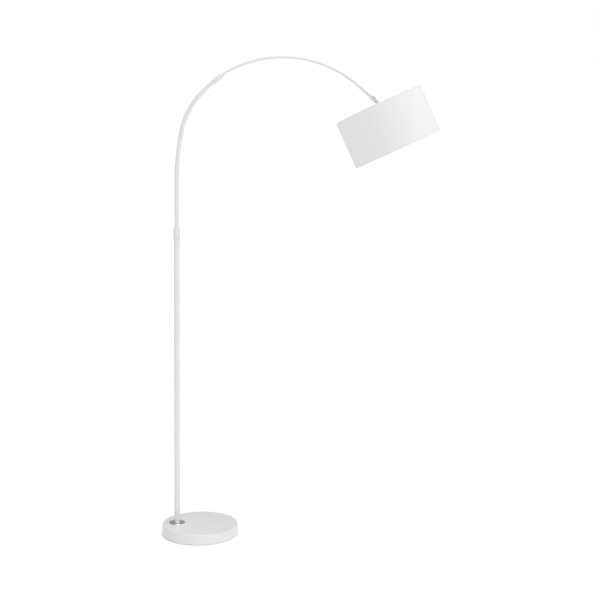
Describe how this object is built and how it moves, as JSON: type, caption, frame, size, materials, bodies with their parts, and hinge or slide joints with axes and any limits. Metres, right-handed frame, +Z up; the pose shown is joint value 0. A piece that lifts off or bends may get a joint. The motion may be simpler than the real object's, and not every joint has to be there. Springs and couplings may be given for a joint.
{
  "type": "arc floor lamp",
  "caption": "Arc floor lamp: weighted round base with an offset pole, a height-adjustable two-stage bent arm and a tilting drum shade.",
  "frame": {"origin": "centre of the base's underside, on the floor", "axes": "+Z up; +X the way the arm reaches; the arm bends in the XZ plane"},
  "size_m": [1.0658, 0.3508, 1.8782],
  "materials": {
    "white_steel": "white powder coat, fine satin texture",
    "chrome": "polished nickel-chrome plating",
    "cast_iron": "raw cored casting, grey primer",
    "zinc_steel": "bright zinc plating",
    "eva_foam": "closed-cell foam, matt",
    "plate_steel": "rolled sheet, oiled",
    "nylon_white": "moulded nylon, matt",
    "nylon_clear": "natural nylon, matt",
    "pvc_white": "soft PVC, matt",
    "flex_sheath": "white PVC sheath",
    "core_brown": "core insulation",
    "shade_laminate": "fine white weave laminated on a stiff liner",
    "shade_tape": "white edging tape",
    "wire_white": "white powder-coated wire",
    "holder_white": "white thermoset, semi-gloss",
    "porcelain": "glazed steatite",
    "brass": "bare brass",
    "lamp_cap": "nickel-plated shell",
    "lamp_glass_black": "black vitrite insulator",
    "lamp_housing": "white moulded housing",
    "lamp_globe": "frosted diffuser",
    "board": "aluminium-core board"
  },
  "bodies": {
    "stand": {"base_pad": "eva_foam", "bottom_plate": "plate_steel", "bottom_screws": "zinc_steel", "base_weight": "cast_iron", "base_cover": "white_steel", "cord_grommet": "pvc_white", "foot_flange": "chrome", "foot_nipple": "zinc_steel", "foot_washer": "zinc_steel", "foot_lock_washer": "zinc_steel", "foot_nut": "zinc_steel", "pole_foot_plug": "zinc_steel", "pole_lower": "white_steel", "lower_coupler_socket": "zinc_steel", "lower_coupler_stud": "zinc_steel", "pole_middle": "white_steel", "upper_coupler_socket": "zinc_steel", "upper_coupler_stud": "zinc_steel", "pole_upper": "white_steel", "clamp_body": "white_steel", "flex_stand": "flex_sheath", "flex_slack": "flex_sheath", "flex_clamp": "nylon_white", "flex_clamp_screws": "zinc_steel"},
    "height_clamp": {"height_clamp_nut": "white_steel"},
    "arm_guide": {"height_collet": "nylon_clear"},
    "lower_arm": {"arm_lower_tube": "white_steel", "tail_guide": "nylon_clear", "arc_clamp_body": "white_steel", "flex_lower_arm": "flex_sheath"},
    "arc_clamp": {"arc_clamp_nut": "white_steel"},
    "upper_arm": {"arm_upper_tube": "white_steel", "arc_collet": "nylon_clear", "swivel_yoke": "chrome", "pivot_screws": "chrome", "pivot_washers": "plate_steel", "flex_upper_arm": "flex_sheath"},
    "head": {"swivel_tongue": "chrome", "lampholder_cap": "holder_white", "cap_locknut": "zinc_steel", "lampholder_body": "holder_white", "contact_block": "porcelain", "terminal_screws": "brass", "contact_spring": "brass", "screw_shell": "brass", "shade_ring": "holder_white", "shade_fitter": "wire_white", "shade_bottom_wire": "wire_white", "shade_drum": "shade_laminate", "shade_top_trim": "shade_tape", "shade_bottom_trim": "shade_tape", "flex_head": "flex_sheath", "lead_wires": "core_brown"},
    "bulb": {"bulb_contact": "lamp_cap", "bulb_insulator": "lamp_glass_black", "bulb_cap": "lamp_cap", "bulb_housing": "lamp_housing", "led_board": "board", "bulb_globe": "lamp_globe"}
  },
  "joints": [
    {"name": "height_clamp_turn", "type": "hinge", "parent": "stand", "child": "height_clamp", "pos_m": [-0.093, 0, 1.2031], "axis": [0, 0, 1], "range_deg": [0, 270]},
    {"name": "arm_swivel", "type": "hinge", "parent": "stand", "child": "arm_guide", "pos_m": [-0.093, 0, 1.1751], "axis": [0, 0, 1], "range_deg": [-170, 170]},
    {"name": "arm_height", "type": "slide", "parent": "arm_guide", "child": "lower_arm", "axis": [0, 0, 1], "range_m": [-0.165, 0.095], "deforming": ["flex_slack"]},
    {"name": "arc_clamp_turn", "type": "hinge", "parent": "lower_arm", "child": "arc_clamp", "pos_m": [0.03301, 0, 1.76446], "axis": [0.7749, 0, 0.632], "range_deg": [0, 270]},
    {"name": "arc_roll", "type": "hinge", "parent": "lower_arm", "child": "upper_arm", "pos_m": [0.03301, 0, 1.76446], "axis": [0.7749, 0, 0.632], "range_deg": [-30, 30]},
    {"name": "shade_tilt", "type": "hinge", "parent": "upper_arm", "child": "head", "pos_m": [0.6734, 0, 1.70896], "axis": [0, 1, 0], "range_deg": [-65, 35]},
    {"name": "bulb_draw", "type": "slide", "parent": "head", "child": "bulb", "axis": [0.4258, 0, -0.9048], "range_m": [0, 0.026]}
  ]
}
